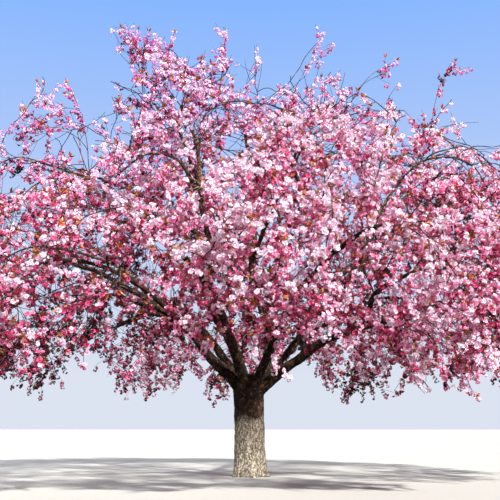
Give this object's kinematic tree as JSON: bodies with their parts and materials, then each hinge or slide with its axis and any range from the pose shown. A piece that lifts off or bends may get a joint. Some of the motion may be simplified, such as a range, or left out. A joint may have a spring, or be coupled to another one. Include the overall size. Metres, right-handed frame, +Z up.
{
  "type": "cherry blossom tree",
  "caption": "Mature spreading cherry in full double pink bloom: short thick trunk forking low into arching boughs under a broad, uneven, drooping crown of blossom",
  "frame": {"origin": "middle of the flat cut under the trunk, at ground level", "axes": "+Z up, +X to the right and +Y to the back as the picture shows the tree"},
  "size_m": [11.2452, 10.3325, 8.2827],
  "materials": {
    "bark": "rough, fissured grey-brown bark, paler where the sun strikes the trunk",
    "blossom": "soft matt petals from deep rose to pale pink",
    "leaf": "young bronze leaves, folded along the middle, slightly glossy",
    "twig": "thin dark red-brown bark, greyer on the upper side"
  },
  "bodies": {
    "root": {"blossom_high_left": "blossom", "blossom_shoot_apex": "blossom", "blossom_shoot_centre": "blossom", "blossom_shoot_far_right": "blossom", "blossom_shoot_right": "blossom", "blossom_shoot_twiggy": "blossom", "blossom_shoulder_1": "blossom", "blossom_shoulder_2": "blossom", "blossom_shoulder_3": "blossom", "blossom_shoulder_4": "blossom", "blossom_shoulder_5": "blossom", "blossom_shoulder_6": "blossom", "blossom_shoulder_7": "blossom", "blossom_shoulder_8": "blossom", "blossom_skirt_1": "blossom", "blossom_skirt_10": "blossom", "blossom_skirt_11": "blossom", "blossom_skirt_12": "blossom", "blossom_skirt_2": "blossom", "blossom_skirt_3": "blossom", "blossom_skirt_4": "blossom", "blossom_skirt_5": "blossom", "blossom_skirt_6": "blossom", "blossom_skirt_7": "blossom", "blossom_skirt_8": "blossom", "blossom_skirt_9": "blossom", "blossom_spray_left": "blossom", "blossom_spray_left_tip": "blossom", "blossom_top_back_left": "blossom", "blossom_top_back_right": "blossom", "blossom_top_centre": "blossom", "blossom_top_far_right": "blossom", "blossom_top_front_left": "blossom", "blossom_top_front_right": "blossom", "blossom_top_left": "blossom", "blossom_top_right": "blossom", "bough_back_left": "bark", "bough_back_right": "bark", "bough_centre": "bark", "bough_front_left": "bark", "bough_front_right": "bark", "bough_leader": "bark", "bough_low_left": "bark", "bough_low_right": "bark", "limb_back_high": "bark", "limb_front_left_high": "bark", "limb_front_right_high": "bark", "limb_left_arch": "bark", "limb_left_back": "bark", "limb_left_front": "bark", "limb_left_high": "bark", "limb_left_side": "bark", "limb_right_arch": "bark", "limb_right_back": "bark", "limb_right_front": "bark", "limb_right_high": "bark", "limb_right_mid": "bark", "trunk": "bark"}
  },
  "joints": []
}
